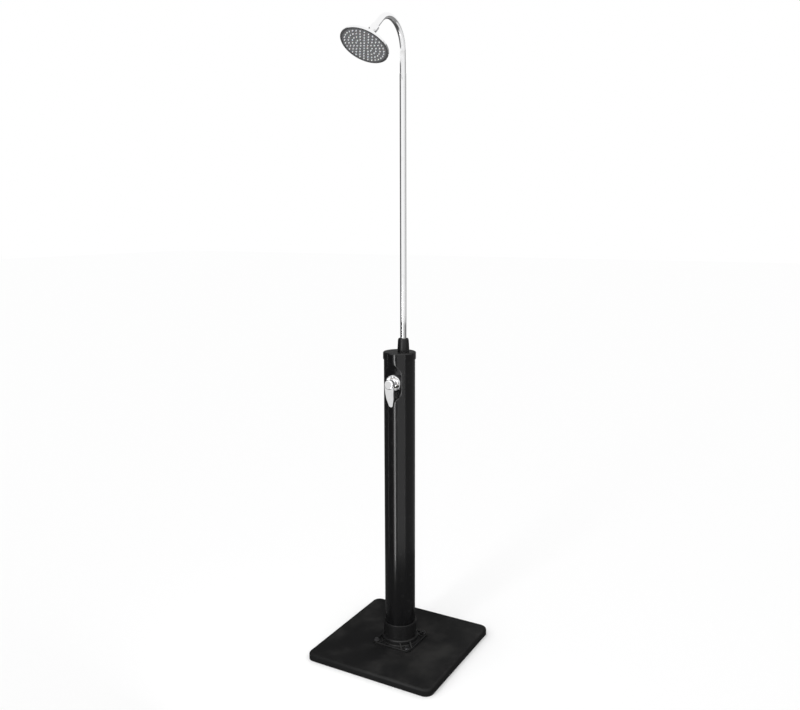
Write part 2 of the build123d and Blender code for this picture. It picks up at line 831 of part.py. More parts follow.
def tap_escutcheon():
    """Dished chrome ring round the tap."""
    hole = tap_body + 2 * fit_gap
    lip = ring_outer - ring_lip
    pocket = locknut_radius + over
    back = ring_dish - ring_skin
    third = ring_edge / 3
    return turned([(ring_outer, seat_out), (ring_outer, ring_front - ring_edge),
                   (ring_outer - third, ring_front - third), (ring_outer - ring_edge, ring_front),
                   (lip - ring_edge / 2, ring_front), (lip - ring_edge, ring_front - ring_step),
                   (hole, ring_dish), (hole, back), (pocket, back + ring_draft),
                   (pocket, seat_out)], tap_plane)


# Cartridge
def cartridge_housing():
    """Cup in the body's chamber that holds the ceramic discs."""
    outer = tap_bore - fit_gap
    body = rod(outer, tap_bore_floor, housing_front, tap_plane)
    body -= rod(outer - housing_wall, tap_bore_floor + housing_floor, housing_front, tap_plane)
    for x in (-port_offset, 0, port_offset):
        body -= rod(port_radius, tap_bore_floor, housing_front, tap_plane, at=(x, 0))
    return body


def fixed_disc():
    """Ceramic disc with three ports."""
    start = tap_bore_floor + housing_floor
    body = rod(disc_radius, start, start + disc_thick, tap_plane)
    for x in (-port_offset, 0, port_offset):
        body -= rod(port_radius, start, start + disc_thick, tap_plane, at=(x, 0))
    return body


def moving_disc():
    """Ceramic disc that the stem slides over the fixed one."""
    start = tap_bore_floor + housing_floor + disc_thick + slider_gap
    body = rod(slider_radius, start, start + slider_thick, tap_plane)
    socket = start + slider_thick
    return body - rod(stem_ball + seal_gap, socket - slider_socket, socket, tap_plane)


def cartridge_yoke():
    """Slotted carrier that turns with the lever and holds its pin."""
    start = housing_front + yoke_play
    body = rod(yoke_radius, start, yoke_front, tap_plane)
    body += ring(yoke_radius, yoke_flange, start, start + yoke_flange_thick, tap_plane)
    slot = Box(stem_side + 2 * fit_gap, yoke_slot, yoke_front - start, align=ON_BASE)
    body -= Location(tap_plane) * (Pos(0, 0, start) * slot)
    return body - pin_bar(pin_radius + pin_gap, tap_body)


def pin_bar(radius, half):
    """A bar across the tap's axis at the lever's pivot."""
    bar = Plane(origin=(0, -pivot_out, tap_height), x_dir=(0, 1, 0), z_dir=(1, 0, 0))
    return rod(radius, -half, half, bar)


def lever_pin():
    """Pin on which the lever's stem tilts."""
    return pin_bar(pin_radius, yoke_radius - 3 * fit_gap)


def lever_stem():
    """Square stem with a ball end in the moving disc."""
    ball_out = pivot_out - stem_reach
    square_from = ball_out + stem_ball
    body = Pos(0, 0, square_from) * Box(stem_side, stem_side, stem_end - square_from, align=ON_BASE)
    body += rod(stem_neck, ball_out, square_from + over)
    body += Pos(0, 0, ball_out) * Sphere(stem_ball)
    return Location(tap_plane) * body - pin_bar(pin_radius + pin_gap, tap_body)


def dome_nut():
    """Ball-shaped nut that closes the cartridge under the lever."""
    start = housing_front + yoke_flange_thick + 2 * yoke_play
    body = rod(tap_bore - fit_gap, start, tap_body_front, tap_plane)
    body += rod(dome_flange, tap_body_front, tap_body_front + dome_flange_thick, tap_plane)
    ball = Location(tap_plane) * (Pos(0, 0, pivot_out) * Sphere(dome_radius))
    keep = rod(dome_radius + over, tap_body_front, dome_front, tap_plane)
    body += ball & keep
    return body - rod(dome_bore, start, dome_front, tap_plane)


# Lever
def blade():
    """Tapered paddle that hangs from the hub."""
    shoulder = (hub_radius, -hub_radius / 2)
    waist = (blade_waist, -blade_waist_at)
    end = (blade_tip, -blade_length + blade_tip)
    left = Polyline((-hub_radius, 0), mirrored(shoulder), mirrored(waist), mirrored(end))
    tip = ThreePointArc(mirrored(end), (0, -blade_length), end)
    right = Polyline(end, waist, shoulder, (hub_radius, 0))
    closing = Line((hub_radius, 0), (-hub_radius, 0))
    outline = make_face(Curve() + [left, tip, right, closing])
    paddle = Location(tap_plane) * (Pos(0, 0, pivot_out) * extrude(outline, hub_front - pivot_out))
    top = hub_front - hub_round
    past = -blade_length - over
    side = Polyline((top - blade_thick, 0), (top, 0), (top - blade_crease, -blade_crease_at),
                    (top - blade_slope, past), (top - blade_slope - blade_tip_thick, past),
                    (top - blade_thick - blade_heel, -hub_radius), close=True)
    layer = extrude(make_face(side), hub_radius + over, both=True)
    side_plane = Plane(origin=(0, 0, tap_height), x_dir=(0, -1, 0), z_dir=(-1, 0, 0))
    return paddle & (Location(side_plane) * layer)


def tap_lever():
    """Handle: a hollow hub over the dome and the paddle."""
    body = rod(hub_radius, pivot_out, hub_front)
    body = fillet(body.edges().sort_by(Axis.Z)[-1], hub_round)
    body = Location(tap_plane) * body
    body += blade()
    body -= Location(tap_plane) * (Pos(0, 0, pivot_out) * Sphere(dome_radius + hub_clear))
    side = stem_side + 2 * fit_gap
    hole = Box(side, side, stem_end - pivot_out, align=ON_BASE)
    body -= Location(tap_plane) * (Pos(0, 0, pivot_out) * hole)
    body -= screw_bar(grub_radius + fit_gap, stem_side / 2, hub_radius + over)
    return body - screw_bar(index_radius + fit_gap, hub_radius - index_thick, hub_radius + over)


def screw_bar(radius, start, end):
    """A bar that points up from the tap's axis, where the stem is clamped."""
    up = Plane(origin=(0, -(stem_end - grub_radius - grub_margin), tap_height), z_dir=(0, 0, 1))
    return rod(radius, start, end, up)


def grub_screw():
    """Screw that clamps the stem in the hub."""
    start = stem_side / 2 + fit_gap / 2
    return screw_bar(grub_radius, start, start + grub_length)


def index_cap():
    """Round plug over the screw."""
    return screw_bar(index_radius, hub_radius - index_thick, hub_radius - index_sunk)


# Hose inlet
def inlet_nipple():
    """Hose tail with its hexagon and the threaded shank through the wall."""
    start = saddle_front + inlet_hex_thick
    end = start + inlet_tail_length
    body = rod(shank_radius, shank_back, saddle_front, inlet_plane)
    body += prism(inlet_hex, saddle_front, start, inlet_plane)
    root = inlet_tail + inlet_root
    root_end = start + inlet_root_length
    body += turned([(0, start), (root, start), (root, root_end), (inlet_tail, root_end + inlet_root_cone),
                    (inlet_tail, end - inlet_lead), (inlet_tail - inlet_lead, end), (0, end)], inlet_plane)
    groove = start + inlet_groove_at
    body -= ring(inlet_groove, root + over, groove, groove + inlet_groove_width, inlet_plane)
    return body - rod(inlet_bore, shank_back, end, inlet_plane)


def inlet_saddle():
    """Washer outside the wall, curved to the pipe."""
    body = ring(shank_radius + fit_gap, saddle_radius, tank_radius - saddle_wrap, saddle_front, inlet_plane)
    return body - rod(tank_radius + seal_gap, 0, tank_top)


def inlet_gasket():
    """Rubber ring inside the wall, curved to the pipe."""
    body = ring(shank_radius + fit_gap, gasket_radius, gasket_back, tank_radius, inlet_plane)
    return body & rod(tank_bore - seal_gap, tank_z, tank_top)


def inlet_locknut():
    """Nut that clamps the inlet in the wall."""
    start = gasket_back - locknut_depth
    nut = prism(inlet_hex, start, gasket_back, inlet_plane)
    return nut - rod(shank_radius + run_gap, start, gasket_back, inlet_plane)


def inlet_tee():
    """Brass tee on the shank's end: up to the tap, down into the tank."""
    body = rod(tee_radius, tee_back, tee_front, inlet_plane)
    up = Plane(origin=(0, tee_level, inlet_height), z_dir=(0, 0, -1))
    down = Plane(origin=(0, tee_level, inlet_height), z_dir=(0, 0, 1))
    reach = tee_arm + tail_length
    for plane in (up, down):
        body += rod(tee_branch, -tee_arm, 0, plane)
        body += hose_tail(-reach, -tee_arm, plane)
    body -= rod(shank_radius + run_gap, shank_back, tee_front, inlet_plane)
    body -= rod(inlet_bore, tee_level, shank_back, inlet_plane)
    return body - rod(tail_bore, -reach, reach, down)


# Hoses
def cold_hose():
    """Hose from the tee up to the tap."""
    top = tap_height - tap_body - seal_gap
    bottom = inlet_height + tee_arm + tail_play
    path = FilletPolyline((-port_offset, -port_level, top), (-port_offset, -port_level, cold_upper),
                          (0, tee_level, cold_lower), (0, tee_level, bottom), radius=cold_bend)
    return pipe(Wire(path.edges()), tail_gap_radius, hose_radius)


def hot_pickup():
    """Tube from the tap up to the warmest water."""
    start = tap_height + tap_body + seal_gap
    plane = Plane(origin=(port_offset, -port_level, 0), z_dir=(0, 0, 1))
    return ring(tail_gap_radius, hose_radius, start, pickup_top, plane)


def outlet_hose():
    """Hose from the tap round and up to the pole's socket."""
    start = -tap_body_back + tail_play
    knee = riser_offset - hose_bend
    top = riser_foot - socket_floor - tail_play
    low = tap_height
    half = math.pi / 4
    mid = (0, knee + hose_bend * math.sin(half), low + hose_bend * (1 - math.cos(half)))
    path = Curve() + [Line((0, start, low), (0, knee, low)),
                      ThreePointArc((0, knee, low), mid, (0, riser_offset, low + hose_bend)),
                      Line((0, riser_offset, low + hose_bend), (0, riser_offset, top))]
    return pipe(Wire(path.edges()), tail_gap_radius, hose_radius)


def hose_ferrules():
    """Crimped rings over the hose ends."""
    inner = hose_radius + seal_gap
    side = port_reach + ferrule_from
    cold = Plane(origin=(-port_offset, -port_level, tap_height - side), z_dir=(0, 0, -1))
    hot = Plane(origin=(port_offset, -port_level, tap_height + side), z_dir=(0, 0, 1))
    back = Plane(origin=(0, -tap_body_back + ferrule_from, tap_height), z_dir=(0, 1, 0))
    socket = Plane(origin=(0, riser_offset, riser_foot - socket_floor - ferrule_from), z_dir=(0, 0, -1))
    tee = Plane(origin=(0, tee_level, inlet_height + tee_arm + ferrule_from), z_dir=(0, 0, 1))
    outer = inner + ferrule_wall
    planes = (cold, hot, back, socket, tee)
    return Compound(children=[ring(inner, outer, 0, ferrule_length, plane) for plane in planes])


foot_makers = [base_plate, base_flange, flange_bolts, flange_washers, flange_nuts]
tank_makers = [tank_tube, bottom_plug, top_cap, cap_seal]
pole_makers = [riser_socket, socket_gasket, gland_nut, gland_seal, gland_collet, lower_riser, stop_sleeve,
               arm_spigot, spigot_rings, shower_arm]
head_makers = [inlet_washer, ball_stem, ball_collar, ball_cup, head_shell, face_plate, nozzle_mat, face_seal]
tap_makers = [mixer_body, tap_gasket, tap_locknut, tap_escutcheon, cartridge_housing, fixed_disc,
              moving_disc, cartridge_yoke, lever_pin, lever_stem, dome_nut, tap_lever, grub_screw, index_cap]
inlet_makers = [inlet_nipple, inlet_saddle, inlet_gasket, inlet_locknut, inlet_tee]
hose_makers = [cold_hose, hot_pickup, outlet_hose, hose_ferrules]

os.makedirs("parts", exist_ok=True)
for maker in foot_makers + tank_makers + pole_makers + head_makers + tap_makers + inlet_makers + hose_makers:
    export_step(maker(), "parts/" + maker.__name__ + ".step")
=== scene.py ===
import json
import math

import bmesh
import bpy
from bpy.props import FloatProperty, FloatVectorProperty, IntProperty, PointerProperty
from mathutils import Matrix, Vector


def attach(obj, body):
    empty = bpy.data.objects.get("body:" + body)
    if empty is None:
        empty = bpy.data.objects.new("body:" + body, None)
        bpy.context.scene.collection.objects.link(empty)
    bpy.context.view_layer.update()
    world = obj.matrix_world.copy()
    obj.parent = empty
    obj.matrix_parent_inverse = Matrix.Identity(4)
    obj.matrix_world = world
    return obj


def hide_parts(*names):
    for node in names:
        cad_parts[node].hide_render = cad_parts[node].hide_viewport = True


bl_info = {
    "name": "Solar Shower Finishes",
    "version": (1, 0, 0),
    "blender": (4, 5, 0),
    "location": "View3D > Sidebar > Solar shower",
    "description": "Finishes, spray nozzles, light and camera of a free-standing solar shower",
    "category": "Object",
}

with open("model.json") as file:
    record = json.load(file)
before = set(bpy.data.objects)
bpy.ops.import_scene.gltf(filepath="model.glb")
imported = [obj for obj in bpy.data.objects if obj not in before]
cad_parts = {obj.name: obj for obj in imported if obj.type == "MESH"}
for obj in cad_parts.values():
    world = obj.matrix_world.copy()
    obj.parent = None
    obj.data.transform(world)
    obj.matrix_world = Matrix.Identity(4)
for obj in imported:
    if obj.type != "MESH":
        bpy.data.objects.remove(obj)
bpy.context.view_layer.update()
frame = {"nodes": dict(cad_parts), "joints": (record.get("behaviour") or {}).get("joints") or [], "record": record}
JOINTS = {joint["name"]: joint for joint in frame["joints"]}
BALL_CENTRE = Vector(JOINTS["head_tilt"]["pos_m"])
MM = 0.001


# What a user would change
class CameraSettings(bpy.types.PropertyGroup):
    place: FloatVectorProperty(name="Place", description="Where the camera stands", size=3,
                               default=(1.3469, -2.4041, 1.5625), unit="LENGTH")
    heading: FloatProperty(name="Heading", description="Turn from looking straight back, to the left",
                           default=math.radians(29.224), subtype="ANGLE")
    pitch: FloatProperty(name="Pitch", description="Tilt, negative when it looks down",
                         default=math.radians(-9.570), subtype="ANGLE")
    roll: FloatProperty(name="Roll", description="Turn about the line of sight",
                        default=math.radians(0.145), subtype="ANGLE")
    lens: FloatProperty(name="Lens", description="Focal length in millimetres on a 36 mm sensor",
                        default=35.887, min=1.0)


class StageSettings(bpy.types.PropertyGroup):
    floor_colour: FloatVectorProperty(name="Floor", description="Colour of the floor", size=3,
                                      subtype="COLOR", default=(0.93, 0.93, 0.93), min=0, max=1)
    floor_side: FloatProperty(name="Floor side", description="Width of the floor", default=60.0, unit="LENGTH")
    sky: FloatProperty(name="Sky", description="How strongly the surroundings light the object", default=1.06)
    card_distance: FloatProperty(name="Card distance", description="From the tank's axis to the grey cards",
                                 default=0.9, unit="LENGTH")


class FinishSettings(bpy.types.PropertyGroup):
    tray: FloatVectorProperty(name="Tray", description="Colour of the moulded tray and foot", size=3,
                              subtype="COLOR", default=(0.0075, 0.0075, 0.0078), min=0, max=1)
    tank: FloatVectorProperty(name="Tank", description="Colour of the black pipe and its cap", size=3,
                              subtype="COLOR", default=(0.0045, 0.0045, 0.0048), min=0, max=1)
    chrome: FloatVectorProperty(name="Chrome", description="Colour of the chromed pieces", size=3,
                                subtype="COLOR", default=(0.92, 0.92, 0.925), min=0, max=1)
    face: FloatVectorProperty(name="Face", description="Colour of the shower head's face", size=3,
                              subtype="COLOR", default=(0.15, 0.15, 0.155), min=0, max=1)
    silicone: FloatVectorProperty(name="Silicone", description="Colour of the spray nozzles", size=3,
                                  subtype="COLOR", default=(0.82, 0.82, 0.82), min=0, max=1)


class NozzleSettings(bpy.types.PropertyGroup):
    rings: IntProperty(name="Rings", description="Rings of nozzles round the middle one", default=5, min=1)
    pitch: FloatProperty(name="Pitch", description="From ring to ring", default=13.0 * MM, unit="LENGTH")
    base: FloatProperty(name="Base", description="Radius at the face", default=2.55 * MM, unit="LENGTH")
    tip: FloatProperty(name="Tip", description="Radius at the tip", default=1.5 * MM, unit="LENGTH")
    height: FloatProperty(name="Height", description="How far a nozzle stands out", default=3.0 * MM,
                          unit="LENGTH")


# Helpers for node trees
def feed(tree, socket, value):
    """Links another node's output to a socket, or sets its value."""
    if isinstance(value, bpy.types.NodeSocket):
        tree.links.new(value, socket)
    else:
        socket.default_value = value


def place_nodes(tree, kind, inputs=None, **settings):
    """Adds one node; an input is a value or another node's output."""
    made = tree.nodes.new(kind)
    for name, value in settings.items():
        setattr(made, name, value)
    for name, value in (inputs or {}).items():
        feed(tree, made.inputs[name], value)
    return made


def maths(tree, operation, *values, clamp=False):
    """One sum of a node tree."""
    made = tree.nodes.new("ShaderNodeMath")
    made.operation = operation
    made.use_clamp = clamp
    for socket, value in zip(made.inputs, values):
        feed(tree, socket, value)
    return made.outputs[0]


def blend_colours(tree, share, first, second):
    """Mixes two colours; inputs 6 and 7 and output 2 are the mix node's colour sockets."""
    made = tree.nodes.new("ShaderNodeMix")
    made.data_type = "RGBA"
    feed(tree, made.inputs["Factor"], share)
    for socket, value in ((made.inputs[6], first), (made.inputs[7], second)):
        feed(tree, socket, value if isinstance(value, bpy.types.NodeSocket) else (*value[:3], 1))
    return made.outputs[2]


def spread(tree, value, low, high):
    """Spreads 0 to 1 over a range."""
    return place_nodes(tree, "ShaderNodeMapRange", {"Value": value, "To Min": low, "To Max": high}).outputs[0]


def soft_step(tree, value, start, end):
    """Rises smoothly from 0 at start to 1 at end."""
    return place_nodes(tree, "ShaderNodeMapRange", {"Value": value, "From Min": start, "From Max": end},
                       interpolation_type="SMOOTHSTEP").outputs[0]


def tinted(colour, share):
    """A colour times a factor."""
    return [part * share for part in colour]


def effect_group(name, inputs, outputs):
    """A shader node group with named sockets."""
    tree = bpy.data.node_groups.new(name, "ShaderNodeTree")
    for label, kind, value in inputs:
        socket = tree.interface.new_socket(name=label, in_out="INPUT", socket_type=kind)
        if value is not None:
            socket.default_value = value
    for label in outputs:
        tree.interface.new_socket(name=label, in_out="OUTPUT", socket_type="NodeSocketFloat")
    return tree, tree.nodes.new("NodeGroupInput").outputs, tree.nodes.new("NodeGroupOutput").inputs


def stretched(tree, vector, across, along):
    """Scales a pattern differently along Z."""
    scale = tree.nodes.new("ShaderNodeCombineXYZ")
    for socket, value in zip(scale.inputs, (across, across, along)):
        feed(tree, socket, value)
    made = place_nodes(tree, "ShaderNodeVectorMath", operation="MULTIPLY")
    tree.links.new(vector, made.inputs[0])
    tree.links.new(scale.outputs[0], made.inputs[1])
    return made.outputs[0]


# Effects that several materials share
def moulded_grain():
    """Fine grain of a spark-eroded mould, and slow changes of its gloss."""
    tree, given, made = effect_group(
        "Moulded grain", [("Vector", "NodeSocketVector", None), ("Grain Scale", "NodeSocketFloat", 900.0),
                          ("Mottle Scale", "NodeSocketFloat", 14.0)], ["Height", "Mottle"])
    fine = place_nodes(tree, "ShaderNodeTexNoise", {"Vector": given["Vector"], "Scale": given["Grain Scale"],
                                                    "Detail": 3.0, "Roughness": 0.6})
    cells = place_nodes(tree, "ShaderNodeTexVoronoi", {"Vector": given["Vector"], "Scale": given["Grain Scale"]})
    slow = place_nodes(tree, "ShaderNodeTexNoise", {"Vector": given["Vector"], "Scale": given["Mottle Scale"],
                                                    "Detail": 4.0, "Roughness": 0.55})
    height = maths(tree, "MULTIPLY_ADD", cells.outputs["Distance"], 0.5, fine.outputs["Fac"])
    tree.links.new(height, made["Height"])
    tree.links.new(slow.outputs["Fac"], made["Mottle"])
    return tree


def drawn_streaks():
    """Lines along an extruded or drawn tube."""
    tree, given, made = effect_group(
        "Drawn streaks", [("Vector", "NodeSocketVector", None), ("Across", "NodeSocketFloat", 260.0),
                          ("Along", "NodeSocketFloat", 1.6)], ["Height", "Streak"])
    lines = place_nodes(tree, "ShaderNodeTexNoise",
                        {"Vector": stretched(tree, given["Vector"], given["Across"], given["Along"]),
                         "Scale": 1.0, "Detail": 2.0})
    broad = maths(tree, "MULTIPLY", given["Across"], 0.12)
    bands = place_nodes(tree, "ShaderNodeTexNoise",
                        {"Vector": stretched(tree, given["Vector"], broad, given["Along"]), "Scale": 1.0})
    tree.links.new(lines.outputs["Fac"], made["Height"])
    tree.links.new(bands.outputs["Fac"], made["Streak"])
    return tree


def settled_dust():
    """Dust that lies on what faces up."""
    tree, given, made = effect_group(
        "Settled dust", [("Vector", "NodeSocketVector", None), ("Patch Scale", "NodeSocketFloat", 9.0),
                         ("Amount", "NodeSocketFloat", 0.5)], ["Mask"])
    normal = place_nodes(tree, "ShaderNodeNewGeometry").outputs["Normal"]
    up = place_nodes(tree, "ShaderNodeSeparateXYZ", {"Vector": normal}).outputs["Z"]
    patches = place_nodes(tree, "ShaderNodeTexNoise", {"Vector": given["Vector"], "Scale": given["Patch Scale"],
                                                       "Detail": 6.0, "Roughness": 0.62})
    specks = place_nodes(tree, "ShaderNodeTexNoise", {"Vector": given["Vector"], "Scale": 1400.0, "Detail": 1.0})
    patch = soft_step(tree, patches.outputs["Fac"], 0.42, 0.72)
    speck = place_nodes(tree, "ShaderNodeMapRange", {"Value": specks.outputs["Fac"], "From Min": 0.45,
                                                     "From Max": 0.7, "To Min": 0.55})
    facing = soft_step(tree, up, 0.2, 0.9)
    mask = maths(tree, "MULTIPLY", patch, speck.outputs[0])
    mask = maths(tree, "MULTIPLY", mask, facing)
    tree.links.new(maths(tree, "MULTIPLY", mask, given["Amount"]), made["Mask"])
    return tree


def dried_drops():
    """Rings that drops of water left behind."""
    tree, given, made = effect_group(
        "Dried drops", [("Vector", "NodeSocketVector", None), ("Drop Scale", "NodeSocketFloat", 60.0),
                        ("Amount", "NodeSocketFloat", 0.5)], ["Mask"])
    drops = place_nodes(tree, "ShaderNodeTexVoronoi", {"Vector": given["Vector"], "Scale": given["Drop Scale"],
                                                       "Randomness": 1.0})
    ring = soft_step(tree, drops.outputs["Distance"], 0.2, 0.26)
    inner = soft_step(tree, drops.outputs["Distance"], 0.3, 0.26)
    chance = place_nodes(tree, "ShaderNodeSeparateColor", {"Color": drops.outputs["Color"]})
    few = maths(tree, "GREATER_THAN", chance.outputs[0], 0.72)
    mask = maths(tree, "MULTIPLY", maths(tree, "MULTIPLY", ring, inner), few)
    tree.links.new(maths(tree, "MULTIPLY", mask, given["Amount"]), made["Mask"])
    return tree


def hair_scratches():
    """Fine scratches and rubbing marks."""
    tree, given, made = effect_group(
        "Hair scratches", [("Vector", "NodeSocketVector", None), ("Scale", "NodeSocketFloat", 40.0),
                           ("Amount", "NodeSocketFloat", 0.5)], ["Mask"])
    turned = place_nodes(tree, "ShaderNodeVectorRotate", {"Vector": given["Vector"], "Angle": 0.6})
    marks = place_nodes(tree, "ShaderNodeTexNoise",
                        {"Vector": stretched(tree, turned.outputs[0], 14.0, 0.8), "Scale": given["Scale"],
                         "Detail": 2.0})
    thin = soft_step(tree, marks.outputs["Fac"], 0.66, 0.72)
    where = place_nodes(tree, "ShaderNodeTexNoise", {"Vector": given["Vector"], "Scale": 11.0, "Detail": 2.0})
    part = soft_step(tree, where.outputs["Fac"], 0.45, 0.65)
    mask = maths(tree, "MULTIPLY", thin, part)
    tree.links.new(maths(tree, "MULTIPLY", mask, given["Amount"]), made["Mask"])
    return tree


EFFECTS = {}
FINISHES = {}

# Depths of relief and colours of dirt
SHALLOW = 0.00003
BLOOM_DEPTH = 0.00005
STREAK_DEPTH = 0.000003
ROUGH_DRAWN = 0.00002
PLASTIC_DUST = (0.05, 0.048, 0.045)
GLOSS_DUST = (0.045, 0.043, 0.04)
DROP_MARK = (0.02, 0.02, 0.02)
SCRATCH_MARK = (0.018, 0.018, 0.018)
LIME = (0.3, 0.3, 0.29)
SMUDGE = (0.32, 0.31, 0.29)


def effect(tree, name, vector, **values):
    """Places a shared effect in a material with its own values."""
    made = tree.nodes.new("ShaderNodeGroup")
    made.node_tree = EFFECTS[name]
    tree.links.new(vector, made.inputs["Vector"])
    for label, value in values.items():
        made.inputs[label.replace("_", " ").title()].default_value = value
    return made.outputs


def new_material(name, colour, roughness, metallic=0.0, **constants):
    """A material with its shader; constants are set on the shader itself."""
    material = bpy.data.materials.new(name + "_finish")
    FINISHES[name] = material
    material.use_nodes = True
    material.diffuse_color = (*colour, 1)
    tree = material.node_tree
    shader = tree.nodes["Principled BSDF"]
    shader.inputs["Base Color"].default_value = (*colour, 1)
    shader.inputs["Roughness"].default_value = roughness
    shader.inputs["Metallic"].default_value = metallic
    for label, value in constants.items():
        shader.inputs[label.replace("_", " ")].default_value = value
    vector = tree.nodes.new("ShaderNodeTexCoord").outputs["Object"]
    return tree, shader, vector


def raise_surface(tree, shader, height, distance):
    """Feeds a height to the shader's normal."""
    bump = place_nodes(tree, "ShaderNodeBump", {"Height": height, "Distance": distance, "Strength": 1.0})
    tree.links.new(bump.outputs[0], shader.inputs["Normal"])


def satin_plastic(name, colour, roughness=0.42, grain=900.0, depth=0.00004, dust=0.35, level=0.5):
    """Moulded plastic with a fine grain and a little dust."""
    tree, shader, vector = new_material(name, colour, roughness, Specular_IOR_Level=level)
    grained = effect(tree, "grain", vector, grain_scale=grain)
    dusty = effect(tree, "dust", vector, amount=dust)
    scratched = effect(tree, "scratches", vector, amount=0.5)
    varied = blend_colours(tree, grained["Mottle"], tinted(colour, 0.8), tinted(colour, 1.25))
    pale = blend_colours(tree, dusty["Mask"], varied, PLASTIC_DUST)
    worn = blend_colours(tree, scratched["Mask"], pale, [c * 2.4 + 0.01 for c in colour])
    tree.links.new(worn, shader.inputs["Base Color"])
    rough = spread(tree, grained["Mottle"], roughness - 0.07, roughness + 0.07)
    rough = maths(tree, "ADD", rough, maths(tree, "MULTIPLY", dusty["Mask"], 0.25), clamp=True)
    tree.links.new(rough, shader.inputs["Roughness"])
    raise_surface(tree, shader, grained["Height"], depth)


def gloss_plastic(name, colour, roughness=0.14, level=0.5, dust=0.2):
    """Extruded or polished black plastic with faint lines along it."""
    tree, shader, vector = new_material(name, colour, roughness, Specular_IOR_Level=level)
    drawn = effect(tree, "streaks", vector)
    grained = effect(tree, "grain", vector, grain_scale=320.0, mottle_scale=6.0)
    dusty = effect(tree, "dust", vector, amount=dust, patch_scale=16.0)
    spotted = effect(tree, "drops", vector, drop_scale=55.0, amount=0.5)
    scratched = effect(tree, "scratches", vector, amount=0.6)
    base = blend_colours(tree, grained["Mottle"], tinted(colour, 0.85), tinted(colour, 1.2))
    marked = blend_colours(tree, spotted["Mask"], base, DROP_MARK)
    marked = blend_colours(tree, scratched["Mask"], marked, SCRATCH_MARK)
    marked = blend_colours(tree, dusty["Mask"], marked, GLOSS_DUST)
    tree.links.new(marked, shader.inputs["Base Color"])
    rough = spread(tree, drawn["Streak"], roughness - 0.04, roughness + 0.06)
    rough = maths(tree, "ADD", rough, maths(tree, "MULTIPLY", dusty["Mask"], 0.3))
    rough = maths(tree, "ADD", rough, maths(tree, "MULTIPLY", spotted["Mask"], 0.2), clamp=True)
    tree.links.new(rough, shader.inputs["Roughness"])
    raise_surface(tree, shader, drawn["Height"], SHALLOW)


def bright_metal(name, colour, roughness, streak_depth=STREAK_DEPTH, streaks=(420.0, 2.0), grime=SMUDGE):
    """Plated or drawn metal with smudges and water marks."""
    tree, shader, vector = new_material(name, colour, roughness, metallic=1.0)
    drawn = effect(tree, "streaks", vector, across=streaks[0], along=streaks[1])
    grained = effect(tree, "grain", vector, grain_scale=150.0, mottle_scale=24.0)
    spotted = effect(tree, "drops", vector, drop_scale=85.0, amount=0.45)
    scratched = effect(tree, "scratches", vector, amount=0.35, scale=70.0)
    marked = blend_colours(tree, spotted["Mask"], colour, tinted(colour, 0.72))
    marked = blend_colours(tree, scratched["Mask"], marked, tinted(colour, 0.8))
    soiled = place_nodes(tree, "ShaderNodeMapRange", {"Value": grained["Mottle"], "From Min": 0.62,
                                                      "From Max": 0.85, "To Max": 0.35})
    marked = blend_colours(tree, soiled.outputs[0], marked, grime)
    tree.links.new(marked, shader.inputs["Base Color"])
    rough = spread(tree, grained["Mottle"], roughness * 0.6, roughness * 1.5)
    rough = maths(tree, "ADD", rough, maths(tree, "MULTIPLY", spotted["Mask"], 0.25))
    rough = maths(tree, "ADD", rough, maths(tree, "MULTIPLY", scratched["Mask"], 0.15), clamp=True)
    tree.links.new(rough, shader.inputs["Roughness"])
    raise_surface(tree, shader, drawn["Height"], streak_depth)


def soft_rubber(name, colour, roughness=0.6, grain=600.0, **constants):
    """Rubber or silicone with a powdery bloom."""
    tree, shader, vector = new_material(name, colour, roughness, **constants)
    grained = effect(tree, "grain", vector, grain_scale=grain, mottle_scale=60.0)
    bloom = [min(1.0, c * 1.15 + 0.015) for c in colour]
    tree.links.new(blend_colours(tree, grained["Mottle"], tinted(colour, 0.85), bloom),
                   shader.inputs["Base Color"])
    tree.links.new(spread(tree, grained["Mottle"], roughness - 0.1, roughness + 0.1), shader.inputs["Roughness"])
    raise_surface(tree, shader, grained["Height"], BLOOM_DEPTH)


def face_plastic(name, colour, roughness=0.35):
    """Grey face of the head, a little darker towards its rim."""
    tree, shader, vector = new_material(name, colour, roughness)
    grained = effect(tree, "grain", vector, grain_scale=700.0, mottle_scale=30.0)
    spotted = effect(tree, "drops", vector, drop_scale=110.0, amount=0.6)
    centred = place_nodes(tree, "ShaderNodeMapping", {"Vector": vector, "Location": -face_centre()})
    reach = place_nodes(tree, "ShaderNodeVectorMath", {0: centred.outputs[0]}, operation="LENGTH")
    rim = soft_step(tree, reach.outputs["Value"], RIM_START, RIM_END)
    varied = blend_colours(tree, grained["Mottle"], tinted(colour, 0.85), tinted(colour, 1.15))
    darker = blend_colours(tree, rim, varied, tinted(colour, 0.5))
    limed = blend_colours(tree, spotted["Mask"], darker, LIME)
    tree.links.new(limed, shader.inputs["Base Color"])
    tree.links.new(spread(tree, grained["Mottle"], roughness - 0.08, roughness + 0.1), shader.inputs["Roughness"])
    raise_surface(tree, shader, grained["Height"], SHALLOW)


# Places on the shower head
HEAD_LEAN = math.radians(31.7)
HEAD_YAW = math.radians(13.5)
FACE_DROP = 43.2 * MM       # from the ball's centre to the face
RIM_START, RIM_END = 66 * MM, 78 * MM       # where the face darkens towards its rim


def spray_way():
    """The direction in which the head sprays at rest."""
    return Vector((-math.sin(HEAD_LEAN) * math.sin(HEAD_YAW), -math.sin(HEAD_LEAN) * math.cos(HEAD_YAW),
                   -math.cos(HEAD_LEAN)))


def face_centre():
    """The middle of the head's face."""
    return BALL_CENTRE + spray_way() * FACE_DROP


